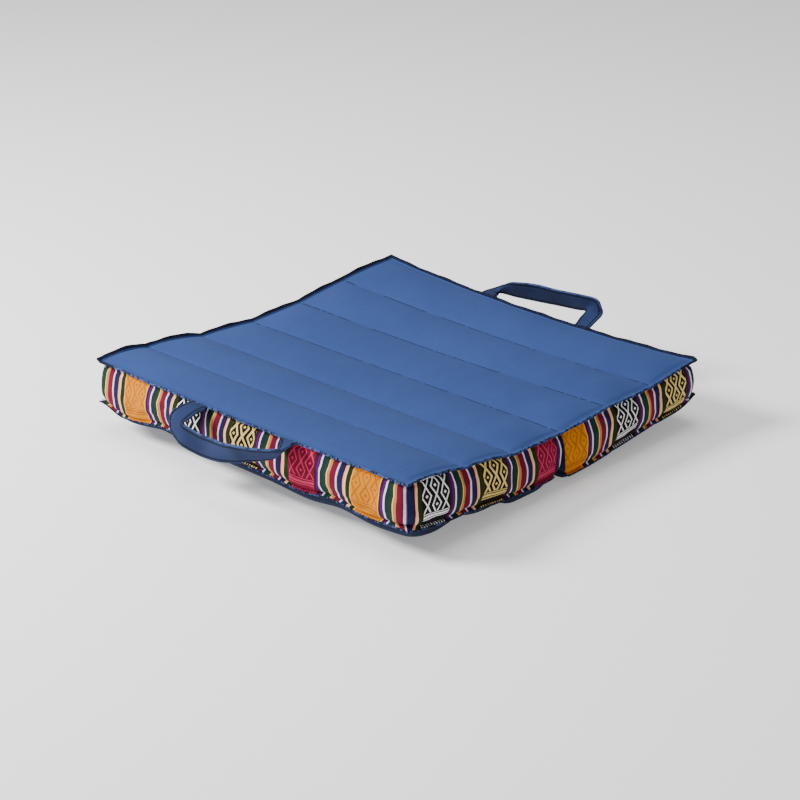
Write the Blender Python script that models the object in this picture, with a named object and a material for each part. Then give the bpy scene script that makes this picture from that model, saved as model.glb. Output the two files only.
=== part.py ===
"""A folding meditation cushion: two filled halves with patterned walls, hinged by one quilted top panel.

Metres, +Z up. The fold line runs along X through the middle, the near half is at -Y and the far half at +Y.
The cushion lies open on a surface in the shallow V that it keeps from being stored folded: its inner channels
rest flat on the surface and its outer edges stand a little clear of it.
"""

import math
from collections import namedtuple

import bmesh
import bpy
from mathutils import Vector

# Driving sizes
SIDE = 0.450  # the open cushion, square over its seam lips
HALF = SIDE / 2
LIP = 0.0042  # seam allowance left outside the stitch line
STITCH = HALF - LIP
CLOTH = 0.0018  # cotton panel, or one turn of the wall's cloth
GAP = 0.0004  # between two cloths that lie on each other
EAR = 0.0014  # how far a lip's corner points past the square
EAR_LENGTH = 0.035  # how far from a corner its lips begin to point out
BASE_CORNER_TURN = 0.008  # how far the far half's base turns up at its corners
END_ROUND = 0.045  # length over which a channel's filling tapers at its closed ends
STITCH_SINK = 0.0010  # how deep a stitch line pulls the cloth in
WALL_BULGE = 0.0062  # how far the filling pushes the wall out past its stitch lines
WALL_CORNER = 0.0045  # how far the wall's upright corners are rounded in
FOLD_CLEARANCE = 0.0010  # from the hinge line to each half's upper inner edge

STRAP_THICKNESS = 0.0030

# Each sewn line that crosses the cushion from left (-X) to right (+X): where it runs along Y, and the height
# of the top panel and of the base panel there, at both ends, and how far the top sags between the ends.
Line = namedtuple("Line", "y_left y_right top_left top_right base_left base_right sag")
NEAR_EDGE = Line(-STITCH, -STITCH, 0.0795, 0.0805, 0.0310, 0.0300, 0.0030)
LINE_1 = Line(-0.160, -0.142, 0.0765, 0.0705, 0.0265, 0.0215, 0.0015)
LINE_2 = Line(-0.081, -0.072, 0.0665, 0.0605, 0.0175, 0.0145, 0.0010)
FOLD_NEAR = Line(-0.005, 0.002, 0.0620, 0.0600, 0.0125, 0.0130, 0.0005)
FOLD_FAR = Line(-0.005, 0.002, 0.0620, 0.0600, 0.0090, 0.0070, 0.0005)
LINE_4 = Line(0.070, 0.076, 0.0650, 0.0650, 0.0140, 0.0115, 0.0040)
LINE_5 = Line(0.141, 0.151, 0.0735, 0.0650, 0.0225, 0.0190, 0.0060)
FAR_EDGE = Line(STITCH, STITCH, 0.0785, 0.0720, 0.0295, 0.0240, 0.0090)

# How far the near base seam hangs below a straight line, at places along X.
NEAR_BASE_DIPS = (
    (-HALF, 0.0),
    (-0.188, 0.0085),
    (-0.120, 0.0005),
    (-0.050, 0.0030),
    (0.020, 0.0030),
    (0.078, 0.0055),
    (0.125, 0.0),
    (0.170, 0.0035),
    (HALF, 0.0),
)

# The filled channels of each half, from the fold outwards: how high the top crowns above its sewn lines in the
# middle and at the closed ends, how low the base swells below its own, and how far the base seam dips at the ends.
Channel = namedtuple("Channel", "top_crown top_end base_swell base_end")
NEAR_CHANNELS = (
    Channel(0.0062, 0.0012, 0.0205, 0.0022),
    Channel(0.0068, 0.0032, 0.0120, 0.0015),
    Channel(0.0070, 0.0034, 0.0110, 0.0030),
)
FAR_CHANNELS = (
    Channel(0.0060, 0.0004, 0.0150, 0.0018),
    Channel(0.0064, 0.0006, 0.0120, 0.0005),
    Channel(0.0066, 0.0016, 0.0110, 0.0012),
)
ACROSS_CHANNEL = (0, 0.10, 0.28, 0.50, 0.72, 0.90)  # where a channel is shaped, as shares of its width
ALONG_CHANNEL = (0, 0.055, 0.110, 0.152, 0.180, 0.199, 0.212)  # distances from the middle, to each closed end

# The wall from its top lip to its base lip: how far down it is, how far out past the stitch lines, and how far
# the inner wall at the fold stands back from the hinge line.
Level = namedtuple("Level", "down out back")
WALL = (
    Level(0.00, LIP, FOLD_CLEARANCE),
    Level(0.02, 0.0, 0.0014),
    Level(0.14, 0.62 * WALL_BULGE, 0.0028),
    Level(0.33, 0.92 * WALL_BULGE, 0.0050),
    Level(0.54, WALL_BULGE, 0.0078),
    Level(0.75, 0.84 * WALL_BULGE, 0.0105),
    Level(0.90, 0.52 * WALL_BULGE, 0.0125),
    Level(0.98, -0.0015, 0.0150),
    Level(1.00, LIP, 0.0105),
)

# The straps, sewn into the outer top seams at both ends. Each row is one place along a strap: its lower edge and
# its upper edge there. AT_SEAM is the lip's own height.
Across = namedtuple("Across", "lower upper")
SEWN_IN = HALF + GAP  # the strap's cut end lies against the lip's edge
AT_SEAM = None
NEAR_STRAP = (
    Across((-0.077, -SEWN_IN, AT_SEAM), (-0.052, -SEWN_IN, AT_SEAM)),
    Across((-0.077, -0.240, 0.075), (-0.052, -0.240, 0.075)),
    Across((-0.077, -0.253, 0.071), (-0.052, -0.253, 0.071)),
    Across((-0.074, -0.257, 0.057), (-0.053, -0.257, 0.070)),
    Across((-0.064, -0.258, 0.048), (-0.052, -0.258, 0.069)),
    Across((-0.053, -0.258, 0.043), (-0.049, -0.258, 0.068)),
    Across((-0.030, -0.255, 0.039), (-0.031, -0.256, 0.064)),
    Across((-0.009, -0.254, 0.040), (-0.011, -0.257, 0.065)),
    Across((0.007, -0.252, 0.043), (0.003, -0.259, 0.066)),
    Across((0.021, -0.250, 0.047), (0.017, -0.261, 0.069)),
    Across((0.033, -0.247, 0.051), (0.030, -0.261, 0.071)),
    Across((0.049, -0.243, 0.056), (0.049, -0.260, 0.074)),
    Across((0.057, -0.239, 0.059), (0.075, -0.251, 0.078)),
    Across((0.059, -0.236, 0.061), (0.081, -0.241, 0.080)),
    Across((0.059, -0.233, 0.064), (0.081, -0.234, 0.081)),
    Across((0.056, -SEWN_IN, AT_SEAM), (0.079, -SEWN_IN, AT_SEAM)),
)
FAR_STRAP = (
    Across((-0.059, SEWN_IN, AT_SEAM), (-0.082, SEWN_IN, AT_SEAM)),
    Across((-0.063, 0.232, 0.068), (-0.082, 0.235, 0.070)),
    Across((-0.068, 0.237, 0.066), (-0.075, 0.247, 0.073)),
    Across((-0.069, 0.246, 0.067), (-0.059, 0.246, 0.082)),
    Across((-0.051, 0.253, 0.065), (-0.045, 0.243, 0.087)),
    Across((-0.018, 0.255, 0.067), (-0.018, 0.245, 0.091)),
    Across((0.012, 0.255, 0.070), (0.013, 0.244, 0.093)),
    Across((0.038, 0.253, 0.073), (0.043, 0.243, 0.096)),
    Across((0.052, 0.250, 0.076), (0.071, 0.244, 0.097)),
    Across((0.055, 0.245, 0.075), (0.079, 0.244, 0.090)),
    Across((0.055, 0.238, 0.072), (0.082, 0.243, 0.082)),
    Across((0.056, 0.232, 0.069), (0.080, 0.234, 0.075)),
    Across((0.057, SEWN_IN, AT_SEAM), (0.077, SEWN_IN, AT_SEAM)),
)
STRAP_STEPS = 3  # sections between two stations

BLUE_COTTON = (0.076, 0.150, 0.366, 1.0)
WOVEN_BAND = (0.55, 0.20, 0.09, 1.0)
STRAP_BLUE = (0.060, 0.118, 0.290, 1.0)


def mix(a, b, share):
    return a + (b - a) * share


def cloth_material(name, colour, roughness):
    material = bpy.data.materials.new(name)
    material.use_nodes = True
    shader = material.node_tree.nodes["Principled BSDF"]
    shader.inputs["Base Color"].default_value = colour
    shader.inputs["Roughness"].default_value = roughness
    shader.inputs["Metallic"].default_value = 0.0
    material.diffuse_color = colour
    return material


def closed_object(name, mesh, material):
    """Points every face of the closed mesh outwards and adds it to the scene."""
    bmesh.ops.recalc_face_normals(mesh, faces=mesh.faces)
    data = bpy.data.meshes.new(name)
    mesh.to_mesh(data)
    mesh.free()
    data.materials.append(material)
    data.shade_smooth()
    data.set_sharp_from_angle(angle=math.radians(50))
    made = bpy.data.objects.new(name, data)
    bpy.context.scene.collection.objects.link(made)
    return made


def along(left, right, x):
    """A value that changes evenly from the cushion's left edge to its right one."""
    return mix(left, right, (x + HALF) / SIDE)


def filled_share(x):
    """1 along a channel, falling in a round to 0 at the stitch lines of its closed ends."""
    into_end = max(0.0, (abs(x) - (STITCH - END_ROUND)) / END_ROUND)
    return math.sqrt(max(0.0, 1 - into_end**2))


def columns():
    """The places along X at which every cloth is shaped, from lip edge to lip edge."""
    right = [*ALONG_CHANNEL, STITCH, HALF]
    return [-x for x in reversed(right[1:])] + right


def rows(lines, channels):
    """The places across one half, from the fold to the outer lip, as (inner line, outer line, channel, share).
    A share over 1 is on the lip."""
    found = []
    for inner, outer, channel in zip(lines, lines[1:], channels):
        found += [(inner, outer, channel, share) for share in ACROSS_CHANNEL]
    inner, outer, channel = lines[-2], lines[-1], channels[-1]
    return found + [(inner, outer, channel, 1.0), (inner, outer, channel, 1.0 + LIP)]


def place(row, x):
    """Where a row crosses the column at x, as its place along Y."""
    inner, outer, channel, share = row
    if share > 1:
        return math.copysign(HALF, outer.y_left)
    y_inner = along(inner.y_left, inner.y_right, x)
    return mix(y_inner, along(outer.y_left, outer.y_right, x), share)


def on_lip(row, x):
    return row[3] > 1 or abs(x) > STITCH


def near_corner(distance):
    """1 at the square's edge, falling to 0 at the length over which the corners are drawn out."""
    return max(0.0, 1 - (HALF - abs(distance)) / EAR_LENGTH)


def lip_turn(row, x):
    """The lip's outer edge turns up a little, most at its pointed corners, and the stitch line is pulled in."""
    if row[3] > 1 and abs(x) > STITCH:
        return EAR / 2
    if on_lip(row, x):
        return STITCH_SINK / 2
    stitched = row[3] in (0, 1.0) or abs(x) >= STITCH
    return -STITCH_SINK if stitched else 0.0


def top_height(row, x):
    """The upper face of the top panel: level between the sewn lines' ends, crowned over each channel."""
    inner, outer, channel, share = row
    sag = 1 - (x / HALF) ** 2
    low = along(inner.top_left, inner.top_right, x) - inner.sag * sag
    high = along(outer.top_left, outer.top_right, x) - outer.sag * sag
    share = min(share, 1.0)
    crown = mix(channel.top_end, channel.top_crown, filled_share(x))
    return mix(low, high, share) + crown * math.sin(math.pi * share) ** 0.75 + lip_turn(row, x)


def dip(x):
    """How far the near base seam hangs at x, rising and falling smoothly between the rows of its table."""
    for (x0, d0), (x1, d1) in zip(NEAR_BASE_DIPS, NEAR_BASE_DIPS[1:]):
        if x <= x1:
            turn = 0.5 - 0.5 * math.cos(math.pi * (x - x0) / (x1 - x0))
            return mix(d0, d1, turn)
    return 0.0


def base_height(row, x):
    """The lower face of the base panel: swelling below its seams, and flat where it meets the surface."""
    inner, outer, channel, share = row
    low = along(inner.base_left, inner.base_right, x)
    high = along(outer.base_left, outer.base_right, x)
    if outer is NEAR_EDGE:
        high -= dip(x)
    share = min(share, 1.0)
    swell = mix(channel.base_end, channel.base_swell, filled_share(x))
    height = mix(low, high, share) - swell * math.sin(math.pi * share) ** 0.75 + abs(lip_turn(row, x))
    if outer is FAR_EDGE:
        height += BASE_CORNER_TURN * (near_corner(x) * near_corner(place(row, x))) ** 2
    return max(0.0, height)


def plan_point(row, x, level):
    """A place of the top outline moved to a level of the wall: the stitch lines lie inside the lips' edges, the
    wall swells out between them, and at the fold it stands back from the hinge line."""
    inner, outer, channel, share = row
    side = math.copysign(1, outer.y_left)
    hinge = along(FOLD_NEAR.y_left, FOLD_NEAR.y_right, x)
    reach = STITCH + level.out
    share_out = (place(row, x) - hinge) * side / (HALF - hinge * side)
    nearest = level.back if level.down > 0 else 0.0
    from_hinge = mix(nearest, reach - hinge * side, share_out)
    return Vector((x * reach / HALF, hinge + side * max(level.back, from_hinge)))


def point_out(plan, row, x):
    """Draws the lips out to a point at the four outer corners."""
    moved = plan.copy()
    if row[3] > 1:
        moved.y += math.copysign(EAR * near_corner(x) ** 2, plan.y)
    if abs(x) > STITCH:
        moved.x += math.copysign(EAR * near_corner(plan.y) ** 2, x)
    return moved


def round_in(plan, row, x, level):
    """Rounds the wall's upright outer corners: the nearer to a corner, the further in."""
    if level in (WALL[0], WALL[-1]):
        return point_out(plan, row, x)
    reach = STITCH + level.out
    radius = 4 * WALL_CORNER
    x_left = max(0.0, 1 - (reach - abs(plan.x)) / radius)
    y_left = max(0.0, 1 - (reach - abs(plan.y)) / radius)
    pull = WALL_CORNER * (x_left * y_left) ** 2 + 0.5 * WALL_CORNER * x_left * y_left
    return plan - Vector((math.copysign(pull, plan.x), math.copysign(pull, plan.y)))


def grid_of(mesh, rows_used, level, height, lift):
    """The vertices of one cloth face as rows of columns."""
    grid = []
    for row in rows_used:
        line = []
        for x in columns():
            plan = point_out(plan_point(row, x, level), row, x)
            line.append(mesh.verts.new((plan.x, plan.y, height(row, x) + lift)))
        grid.append(line)
    return grid


def skin(mesh, grid):
    """Covers a grid with triangles. Each four-sided patch is split along its higher diagonal, so that two cloths
    which lie on each other bend alike and stay apart."""
    for low, high in zip(grid, grid[1:]):
        for a, b, c, d in zip(low, low[1:], high[1:], high):
            if a.co.z + c.co.z < b.co.z + d.co.z:
                a, b, c, d = b, c, d, a
            mesh.faces.new((a, b, c))
            mesh.faces.new((a, c, d))


def rim(grid):
    """The places round the edge of a grid, in order, as (row number, column number)."""
    last_row, last_column = len(grid) - 1, len(grid[0]) - 1
    return (
        [(0, i) for i in range(last_column)]
        + [(j, last_column) for j in range(last_row)]
        + [(last_row, i) for i in range(last_column, 0, -1)]
        + [(j, 0) for j in range(last_row, 0, -1)]
    )


def join_rings(mesh, upper, lower):
    for i in range(len(upper)):
        k = (i + 1) % len(upper)
        mesh.faces.new((upper[i], upper[k], lower[k], lower[i]))


def sheet(name, rows_used, level, height, low, high, material):
    """One cloth between two heights over the same plan."""
    mesh = bmesh.new()
    upper = grid_of(mesh, rows_used, level, height, high)
    lower = grid_of(mesh, rows_used, level, height, low)
    skin(mesh, upper)
    skin(mesh, lower)
    edge = rim(upper)
    join_rings(mesh, [upper[j][i] for j, i in edge], [lower[j][i] for j, i in edge])
    return closed_object(name, mesh, material)


def filled_half(name, rows_used, material):
    """A half's filling in its wall: crowned above, swelling below, its sides drawn in at both seams, and the
    wall's own seam allowances lying along the panels' lips."""
    mesh = bmesh.new()
    top = grid_of(mesh, rows_used, WALL[0], top_height, -CLOTH - GAP)
    base = grid_of(mesh, rows_used, WALL[-1], base_height, CLOTH + GAP)
    skin(mesh, top)
    skin(mesh, base)
    edge = rim(top)
    above = [top[j][i] for j, i in edge]
    places = columns()
    rings = [above]
    for number, level in enumerate(WALL):
        ring = []
        for (j, i), vertex in zip(edge, above):
            row, x = rows_used[j], places[i]
            plan = round_in(plan_point(row, x, level), row, x, level)
            high = vertex.co.z - CLOTH
            low = base[j][i].co.z + CLOTH
            ring.append(mesh.verts.new((plan.x, plan.y, mix(high, low, level.down))))
        rings.append(ring)
    rings.append([base[j][i] for j, i in edge])
    for upper, lower in zip(rings, rings[1:]):
        join_rings(mesh, upper, lower)
    return closed_object(name, mesh, material)


def smooth_between(a, b, c, d, t):
    """A point on the smooth curve through b and c, with a and d as its neighbours."""
    return 0.5 * (2 * b + (c - a) * t + (2 * a - 5 * b + 4 * c - d) * t**2 + (3 * b - a - 3 * c + d) * t**3)


def lip_middle(row, x):
    """Half-way through the top lip: the panel above, the wall's seam allowance below."""
    return top_height(row, x) - CLOTH - GAP / 2


def at_edge(point, seam):
    x, y, z = point
    return Vector((x, y, lip_middle(seam, x) if z is AT_SEAM else z))


def edge_curve(points):
    """A smooth curve through the points."""
    spread = [2 * points[0] - points[1], *points, 2 * points[-1] - points[-2]]
    curve = []
    for i in range(len(points) - 1):
        curve += [smooth_between(*spread[i : i + 4], step / STRAP_STEPS) for step in range(STRAP_STEPS)]
    return curve + [points[-1]]


def strap(name, table, seam, material):
    """A folded cotton strap: a flat section with eased edges, carried from seam to seam between its two edges."""
    lower = edge_curve([at_edge(row.lower, seam) for row in table])
    upper = edge_curve([at_edge(row.upper, seam) for row in table])
    centres = [(a + b) / 2 for a, b in zip(lower, upper)]
    eased = 0.6 * STRAP_THICKNESS
    mesh = bmesh.new()
    rings = []
    for i, centre in enumerate(centres):
        forward = centres[min(i + 1, len(centres) - 1)] - centres[max(i - 1, 0)]
        if i in (0, len(centres) - 1):
            forward = Vector((0, forward.y, 0))
        width = upper[i] - lower[i]
        half_width = width.length / 2
        width.normalize()
        face = forward.cross(width).normalized() * STRAP_THICKNESS / 2
        corners = [(half_width, 0.4), (half_width - eased, 1), (eased - half_width, 1), (-half_width, 0.4)]
        section = corners + [(across, -out) for across, out in reversed(corners)]
        rings.append([mesh.verts.new(centre + width * across + face * out) for across, out in section])
    for above, below in zip(rings, rings[1:]):
        join_rings(mesh, above, below)
    mesh.faces.new(rings[0])
    mesh.faces.new(rings[-1])
    return closed_object(name, mesh, material)


def centre_on_origin(objects):
    """Puts the whole cushion over the origin, with its resting face at zero height."""
    corners = [vertex.co for made in objects for vertex in made.data.vertices]
    shift = Vector((0, 0, 0))
    for axis in (0, 1):
        values = [corner[axis] for corner in corners]
        shift[axis] = -(min(values) + max(values)) / 2
    for made in objects:
        for vertex in made.data.vertices:
            vertex.co += shift


for old in list(bpy.data.objects):
    bpy.data.objects.remove(old)

blue = cloth_material("blue_cotton", BLUE_COTTON, 0.85)
woven = cloth_material("woven_band", WOVEN_BAND, 0.80)
strap_blue = cloth_material("strap_cotton", STRAP_BLUE, 0.85)

near_rows = rows((FOLD_NEAR, LINE_2, LINE_1, NEAR_EDGE), NEAR_CHANNELS)
far_rows = rows((FOLD_FAR, LINE_4, LINE_5, FAR_EDGE), FAR_CHANNELS)
top_rows = near_rows[:0:-1] + far_rows
top_outline = Level(0.0, LIP, 0.0)

made_objects = [
    sheet("quilted_top_panel", top_rows, top_outline, top_height, -CLOTH, 0.0, blue),
    filled_half("filled_half_near", near_rows, woven),
    filled_half("filled_half_far", far_rows, woven),
    sheet("base_panel_near", near_rows, WALL[-1], base_height, 0.0, CLOTH, blue),
    sheet("base_panel_far", far_rows, WALL[-1], base_height, 0.0, CLOTH, blue),
    strap("carry_strap_near", NEAR_STRAP, near_rows[-1], strap_blue),
    strap("carry_strap_far", FAR_STRAP, far_rows[-1], strap_blue),
]
centre_on_origin(made_objects)
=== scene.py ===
"""A folding meditation cushion: two filled halves in woven walls, hinged by one quilted cotton panel.

Metres, +Z up. The fold line runs along X through the middle, the near half is at -Y and the far half at +Y.
"""
import math
from collections import namedtuple

import bmesh
import bpy
import numpy as np
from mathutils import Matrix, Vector


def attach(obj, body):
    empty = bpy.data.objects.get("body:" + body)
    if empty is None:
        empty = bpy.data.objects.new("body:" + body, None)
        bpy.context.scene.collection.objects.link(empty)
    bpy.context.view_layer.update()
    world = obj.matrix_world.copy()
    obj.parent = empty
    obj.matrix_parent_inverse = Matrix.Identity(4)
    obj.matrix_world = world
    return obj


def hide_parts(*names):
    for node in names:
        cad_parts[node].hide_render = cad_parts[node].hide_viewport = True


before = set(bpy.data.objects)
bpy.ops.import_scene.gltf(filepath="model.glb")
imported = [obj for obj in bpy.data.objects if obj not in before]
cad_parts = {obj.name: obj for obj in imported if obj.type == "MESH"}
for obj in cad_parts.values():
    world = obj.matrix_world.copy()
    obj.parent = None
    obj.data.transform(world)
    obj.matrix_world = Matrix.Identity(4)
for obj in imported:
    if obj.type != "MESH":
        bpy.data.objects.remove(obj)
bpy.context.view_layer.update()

bpy.ops.object.select_all(action="DESELECT")

# The camera stands at the photograph's angle, outside the cushion's right near corner and a little above it.
# It is far off with a long lens, which gives the photograph's mild perspective.
LOOKS_AT = Vector((0.005, -0.0001, 0.032))
TOWARDS_CAMERA = Vector((0.6311, -0.6673, 0.3955))
CAMERA_DISTANCE = 2.362
LENS, SENSOR = 99.54, 36  # both in millimetres
bpy.ops.object.camera_add(location=LOOKS_AT + CAMERA_DISTANCE * TOWARDS_CAMERA)
camera = bpy.context.object
camera.rotation_euler = (-TOWARDS_CAMERA).to_track_quat("-Z", "Y").to_euler()
camera.data.lens = LENS
camera.data.sensor_width = SENSOR
bpy.context.scene.camera = camera

# The two filled halves. Each is a bag of woven wall cloth between a cotton top and a cotton base, stuffed
# and sewn through into three channels. Here each is shaped as one closed skin with crowned channels, its
# outer walls are blown up as cloth, and it is then parted into the pieces that a maker cuts.
SIDE = 0.450  # the open cushion, square over its seam lips
HALF = SIDE / 2
LIP = 0.0042  # seam allowance left outside the stitch line
STITCH = HALF - LIP
CENTRED = 0.0029  # how far the cushion lies along Y, so that its straps are centred with it
EAR = 0.0009  # how far a lip's corner points past the square
EAR_LENGTH = 0.035
BASE_CORNER_TURN = 0.008
END_ROUND = 0.045  # length over which a channel's filling tapers at its closed ends
BASE_END_ROUND = 0.016  # the same below, at the right ends
BLUNTNESS, TOP_BLUNTNESS = 0.5, 1.15  # how gently a channel closes there, below and above
CROWN_POWER, SWELL_POWER = 0.75, 0.42  # how round its section is, above and below
BELLY = 0.0070  # how much deeper the near channel hangs, but for its left end
BELLY_FROM, BELLY_RAMP = -0.135, 0.03  # where that begins, and the length over which it grows
STITCH_SINK = 0.0012  # how far a sewn line lies below the cloth beside it
LIP_STANDS, LIP_LIES = 0.0030, 0.0006  # how far the lips turn up, at the far and left sides and elsewhere
BASE_LIP_TURN = 0.0005
LIP_WAVE = 0.0005
NEARLY = 1e-6  # room for rounding, where a place is compared with a line
WALL_CORNER = 0.0030  # how far the wall's outer upright corners are rounded in
FOLD_ROUND = 0.0042  # the round of its upright corners at the fold

# Each sewn line from left to right: its place along Y, the heights of the top and of the base there, and its
# sag. They follow seam points read off the photograph and put through the fitted camera, then rounded.
Line = namedtuple("Line", "y_left y_right top_left top_right base_left base_right sag")
NEAR_EDGE = Line(-STITCH, -STITCH, 0.0795, 0.0805, 0.0310, 0.0300, 0.0030)
LINE_1 = Line(-0.160, -0.142, 0.0765, 0.0705, 0.0265, 0.0215, 0.0015)
LINE_2 = Line(-0.081, -0.072, 0.0665, 0.0605, 0.0175, 0.0145, 0.0010)
FOLD_NEAR = Line(-0.005, 0.002, 0.0620, 0.0600, 0.0125, 0.0130, 0.0005)
FOLD_FAR = Line(-0.005, 0.002, 0.0620, 0.0600, 0.0090, 0.0070, 0.0005)
LINE_4 = Line(0.070, 0.076, 0.0650, 0.0650, 0.0140, 0.0115, 0.0040)
LINE_5 = Line(0.141, 0.151, 0.0735, 0.0650, 0.0225, 0.0190, 0.0060)
FAR_EDGE = Line(STITCH, STITCH, 0.0785, 0.0720, 0.0295, 0.0240, 0.0090)
NEAR_LINES = (FOLD_NEAR, LINE_2, LINE_1, NEAR_EDGE)
FAR_LINES = (FOLD_FAR, LINE_4, LINE_5, FAR_EDGE)
NEAR_BASE_DIPS = (
    (-HALF, 0.0), (-0.188, 0.0085), (-0.120, 0.0005), (-0.050, 0.0030), (0.020, 0.0030),
    (0.078, 0.0055), (0.125, 0.0), (0.170, 0.0035), (HALF, 0.0),
)
Channel = namedtuple("Channel", "top_crown top_end base_swell base_end")
NEAR_CHANNELS = (
    Channel(0.0062, 0.0012, 0.0205, 0.0022),
    Channel(0.0068, 0.0032, 0.0120, 0.0015),
    Channel(0.0070, 0.0034, 0.0110, 0.0030),
)
FAR_CHANNELS = (
    Channel(0.0060, 0.0004, 0.0150, 0.0018),
    Channel(0.0064, 0.0006, 0.0120, 0.0005),
    Channel(0.0066, 0.0016, 0.0110, 0.0012),
)
# The wall from seam to seam: how far down it is, how far out past the stitch lines, and how far the inner
# wall at the fold stands back from the hinge.
WALL_DOWN = (0.00, 0.05, 0.14, 0.33, 0.54, 0.75, 0.90, 0.96, 1.00)
WALL_OUT = (0.0002, 0.0030, 0.0052, 0.0068, 0.0071, 0.0066, 0.0051, 0.0032, -0.0004)
WALL_BACK = (0.0006, 0.0006, 0.0007, 0.0010, 0.0017, 0.0030, 0.0052, 0.0072, 0.0100)

CHANNEL_CELLS = 15
ROWS = 3 * CHANNEL_CELLS + 1  # cells from the fold to the lip's edge
COLUMNS = 90  # cells from the left lip's edge to the right one's
LEVELS = 18  # the two lips take two each
TOP, UNDER_TOP_LIP, TOP_SEAM = LEVELS, LEVELS - 1, LEVELS - 2
BASE_SEAM, OVER_BASE_LIP, BASE = 2, 1, 0
TOP_CLOTH, WALL_CLOTH, BASE_CLOTH, CUT_EDGE_AND_FOLD_SHADE = range(4)  # the cloths of a skin
LIP_DEPTH = 0.0034  # both cloths of a top seam, where the panel's edge is turned under
BASE_LIP_DEPTH = 0.0024
SEAM_DEPTH = 0.0040  # how far inside the panel's face the wall's own seams run
BASE_SEAM_TURN = 0.0011  # wall cloth taken up in the base seam
BASE_BACK = 0.0105  # how far the base stands back from the hinge
UNDER_LIP_BACK = 0.0010
PANEL = 0.0018  # the cotton panels
TOP_EDGE, BASE_EDGE = 0.0021, 0.0012  # their thickness at the lips
BETWEEN_CLOTHS = 0.0004


def mix(a, b, share):
    return a + (b - a) * share


def crowded(share, how_much):
    """Moves evenly spaced shares towards both ends."""
    return mix(share, 0.5 - 0.5 * math.cos(math.pi * share), how_much)


def along(left, right, x):
    return mix(left, right, (x + HALF) / SIDE)


def column_x(column):
    if column in (0, COLUMNS):
        return -HALF if column == 0 else HALF
    return STITCH * (2 * (column - 1) / (COLUMNS - 2) - 1)


def row_at(half, row):
    """(inner line, outer line, channel, share of its width) of a row of the blank; over 1 is on the lip."""
    lines, channels = half
    number = min(row // CHANNEL_CELLS, 2)
    share = crowded((row - number * CHANNEL_CELLS) / CHANNEL_CELLS, 0.5) if row < ROWS else 1 + LIP
    return lines[number], lines[number + 1], channels[number], share


def place(row, x):
    inner, outer, channel, share = row
    if share > 1:
        return math.copysign(HALF, outer.y_left)
    return mix(along(inner.y_left, inner.y_right, x), along(outer.y_left, outer.y_right, x), share)


def filled_share(x, taper=END_ROUND, bluntness=BLUNTNESS):
    """How full a channel is at a place along it, from 0 at its closed ends to 1."""
    into_end = min(1.0, max(0.0, (abs(x) - (STITCH - taper)) / taper))
    return max(0.0, 1 - into_end**2) ** bluntness


def near_corner(distance):
    return max(0.0, 1 - (HALF - abs(distance)) / EAR_LENGTH)


def lip_turn(row, x):
    """How far the cotton turns up at a lip, or sinks at a sewn line."""
    beside = abs(x) > STITCH + NEARLY
    if row[3] > 1 or beside:
        stands_up = x < 0 if beside else row[1] is FAR_EDGE
        return LIP_STANDS if stands_up else LIP_LIES
    stitched = row[3] < NEARLY or row[3] > 1 - NEARLY or abs(x) > STITCH - NEARLY
    return -STITCH_SINK if stitched else 0.0


def lip_wave(row, x):
    """The top seam allowance isn't pressed, so it waves a little along its length."""
    if row[3] > 1 or abs(x) > STITCH + NEARLY:
        run = x + place(row, x)
        return LIP_WAVE * (math.sin(run / 0.0113) + 0.6 * math.sin(run / 0.0047 + 1.3))
    return 0.0


def top_height(row, x):
    inner, outer, channel, share = row
    sag = 1 - (x / HALF) ** 2
    low = along(inner.top_left, inner.top_right, x) - inner.sag * sag
    high = along(outer.top_left, outer.top_right, x) - outer.sag * sag
    share = min(share, 1.0)
    crown = mix(channel.top_end, channel.top_crown, filled_share(x, bluntness=TOP_BLUNTNESS))
    turn = lip_turn(row, x) + lip_wave(row, x)
    return mix(low, high, share) + crown * math.sin(math.pi * share) ** CROWN_POWER + turn


def dip(x):
    for (x0, d0), (x1, d1) in zip(NEAR_BASE_DIPS, NEAR_BASE_DIPS[1:]):
        if x <= x1:
            return mix(d0, d1, 0.5 - 0.5 * math.cos(math.pi * (x - x0) / (x1 - x0)))
    return 0.0


def base_height(row, x):
    inner, outer, channel, share = row
    low = along(inner.base_left, inner.base_right, x)
    high = along(outer.base_left, outer.base_right, x) - (dip(x) if outer is NEAR_EDGE else 0)
    share = min(share, 1.0)
    full = channel.base_swell
    if outer is NEAR_EDGE:
        full += BELLY * min(1.0, max(0.0, (x - BELLY_FROM) / BELLY_RAMP))
    swell = mix(channel.base_end, full, filled_share(x, BASE_END_ROUND if x > 0 else END_ROUND))
    turn = BASE_LIP_TURN if lip_turn(row, x) > 0 else -lip_turn(row, x)
    height = mix(low, high, share) - swell * max(0.0, math.sin(math.pi * share)) ** SWELL_POWER + turn
    if outer is FAR_EDGE:
        height += BASE_CORNER_TURN * (near_corner(x) * near_corner(place(row, x))) ** 2
    return max(0.0, height)


def plan_point(row, x, out, back):
    """A place of the top's outline, moved out to where the wall stands and back from the hinge."""
    inner, outer, channel, share = row
    side = math.copysign(1, outer.y_left)
    hinge = along(FOLD_NEAR.y_left, FOLD_NEAR.y_right, x)
    reach = STITCH + out
    share_out = (place(row, x) - hinge) * side / (HALF - hinge * side)
    return Vector((x * reach / HALF, hinge + side * mix(back, reach - hinge * side, share_out)))


def drawn_out(plan, row, x):
    """The lips come to small points at the four outer corners."""
    moved = plan.copy()
    if row[3] > 1:
        moved.y += math.copysign(EAR * near_corner(x) ** 2, plan.y)
    if abs(x) > STITCH + NEARLY:
        moved.x += math.copysign(EAR * near_corner(plan.y) ** 2, x)
    return moved


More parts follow.
